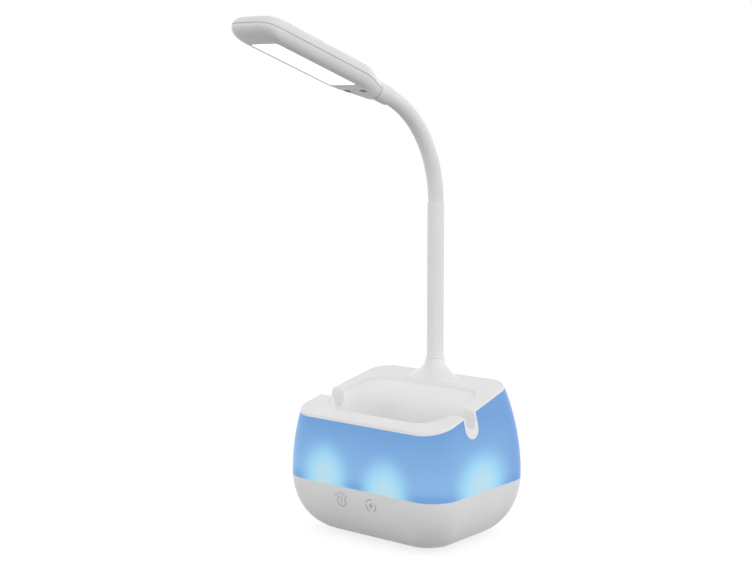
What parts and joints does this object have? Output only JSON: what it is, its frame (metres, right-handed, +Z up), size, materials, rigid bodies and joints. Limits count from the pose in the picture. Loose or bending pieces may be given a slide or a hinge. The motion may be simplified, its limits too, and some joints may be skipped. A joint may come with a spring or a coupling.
{
  "type": "desk lamp with organizer base",
  "caption": "Desk lamp on a rounded organizer base with a glowing band, a sloped deck with a cup and phone slots, a bendable neck and a flat light head.",
  "frame": {"origin": "centre of the base pad's underside, on the table", "axes": "+Z up, -Y to the front where the head reaches out, +X to the right seen from behind the lamp's front"},
  "size_m": [0.12, 0.1812, 0.3011],
  "materials": {
    "white_housing": "satin moulded",
    "glow_plastic": "translucent, lit blue from inside",
    "eva_pad": "foam, matt",
    "zinc_steel": "zinc plated",
    "plate_steel": "plain",
    "cell_sleeve": "shrink film",
    "board_green": "solder mask",
    "board_white": "white solder mask",
    "spring_brass": "bright",
    "glow_led": "lit",
    "white_led": "lit",
    "white_post": "satin",
    "neck_silicone": "smooth silicone",
    "core_steel": "wound steel",
    "cable_jacket": "smooth",
    "lit_diffuser": "opal, lit"
  },
  "bodies": {
    "base": {"lower_housing": "white_housing", "glow_band": "glow_plastic", "top_deck": "white_housing", "base_pad": "eva_pad", "housing_screws": "zinc_steel", "ballast_plate": "plate_steel", "battery_cell": "cell_sleeve", "main_board": "board_green", "board_screws": "zinc_steel", "charging_socket": "plate_steel", "touch_board": "board_green", "touch_springs": "spring_brass", "glow_led_board": "board_green", "glow_leds": "glow_led", "lower_post": "white_post", "neck_washer": "zinc_steel", "neck_nut": "zinc_steel", "post_ferrule": "core_steel", "gooseneck_sleeve": "neck_silicone", "neck_cable": "cable_jacket"},
    "neck_01": {"neck_link_01": "core_steel"},
    "neck_02": {"neck_link_02": "core_steel"},
    "neck_03": {"neck_link_03": "core_steel"},
    "neck_04": {"neck_link_04": "core_steel"},
    "neck_05": {"neck_link_05": "core_steel"},
    "neck_06": {"neck_link_06": "core_steel"},
    "neck_07": {"neck_link_07": "core_steel"},
    "neck_08": {"neck_link_08": "core_steel"},
    "neck_09": {"neck_link_09": "core_steel"},
    "neck_10": {"neck_link_10": "core_steel"},
    "neck_11": {"neck_link_11": "core_steel"},
    "head": {"neck_boot": "neck_silicone", "head_ferrule": "core_steel", "head_frame": "white_housing", "head_cover": "white_housing", "head_diffuser": "lit_diffuser", "head_led_board": "board_white", "head_leds": "white_led", "head_screws": "zinc_steel"}
  },
  "joints": [
    {"name": "neck_bend", "type": "hinge", "parent": "base", "child": "neck_01", "pos_m": [0, 0.02851, 0.20065], "axis": [1, 0, 0], "range_deg": [-16, 8], "deforming": ["gooseneck_sleeve", "neck_cable"]},
    {"name": "neck_sway", "type": "hinge", "parent": "neck_01", "child": "neck_02", "pos_m": [0, 0.02776, 0.20771], "axis": [0, -0.9875, -0.1576], "range_deg": [-10, 10]},
    {"name": "neck_bend_2", "type": "hinge", "parent": "neck_02", "child": "neck_03", "pos_m": [0, 0.02627, 0.21465], "axis": [1, 0, 0], "range_deg": [-16, 8]},
    {"name": "neck_sway_2", "type": "hinge", "parent": "neck_03", "child": "neck_04", "pos_m": [0, 0.02406, 0.2214], "axis": [0, -0.9326, -0.361], "range_deg": [-10, 10]},
    {"name": "neck_bend_3", "type": "hinge", "parent": "neck_04", "child": "neck_05", "pos_m": [0, 0.02115, 0.22787], "axis": [1, 0, 0], "range_deg": [-16, 8]},
    {"name": "neck_sway_3", "type": "hinge", "parent": "neck_05", "child": "neck_06", "pos_m": [0, 0.01758, 0.23401], "axis": [0, -0.8362, -0.5484], "range_deg": [-10, 10]},
    {"name": "neck_bend_4", "type": "hinge", "parent": "neck_06", "child": "neck_07", "pos_m": [0, 0.01338, 0.23973], "axis": [1, 0, 0], "range_deg": [-16, 8]},
    {"name": "neck_sway_4", "type": "hinge", "parent": "neck_07", "child": "neck_08", "pos_m": [0, 0.0086, 0.24498], "axis": [0, -0.7028, -0.7114], "range_deg": [-10, 10]},
    {"name": "neck_bend_5", "type": "hinge", "parent": "neck_08", "child": "neck_09", "pos_m": [0, 0.00329, 0.24969], "axis": [1, 0, 0], "range_deg": [-16, 8]},
    {"name": "neck_sway_5", "type": "hinge", "parent": "neck_09", "child": "neck_10", "pos_m": [0, -0.00248, 0.25382], "axis": [0, -0.5381, -0.8429], "range_deg": [-10, 10]},
    {"name": "neck_bend_6", "type": "hinge", "parent": "neck_10", "child": "neck_11", "pos_m": [0, -0.00866, 0.25732], "axis": [1, 0, 0], "range_deg": [-16, 8]},
    {"name": "neck_sway_6", "type": "hinge", "parent": "neck_11", "child": "head", "pos_m": [0, -0.01517, 0.26015], "axis": [0, -0.3496, -0.9369], "range_deg": [-10, 10]}
  ],
  "couplings": [
    {"joint": "neck_bend_2", "follows": "neck_bend", "ratio": 1},
    {"joint": "neck_sway_2", "follows": "neck_sway", "ratio": 1},
    {"joint": "neck_bend_3", "follows": "neck_bend", "ratio": 1},
    {"joint": "neck_sway_3", "follows": "neck_sway", "ratio": 1},
    {"joint": "neck_bend_4", "follows": "neck_bend", "ratio": 1},
    {"joint": "neck_sway_4", "follows": "neck_sway", "ratio": 1},
    {"joint": "neck_bend_5", "follows": "neck_bend", "ratio": 1},
    {"joint": "neck_sway_5", "follows": "neck_sway", "ratio": 1},
    {"joint": "neck_bend_6", "follows": "neck_bend", "ratio": 1},
    {"joint": "neck_sway_6", "follows": "neck_sway", "ratio": 1}
  ]
}
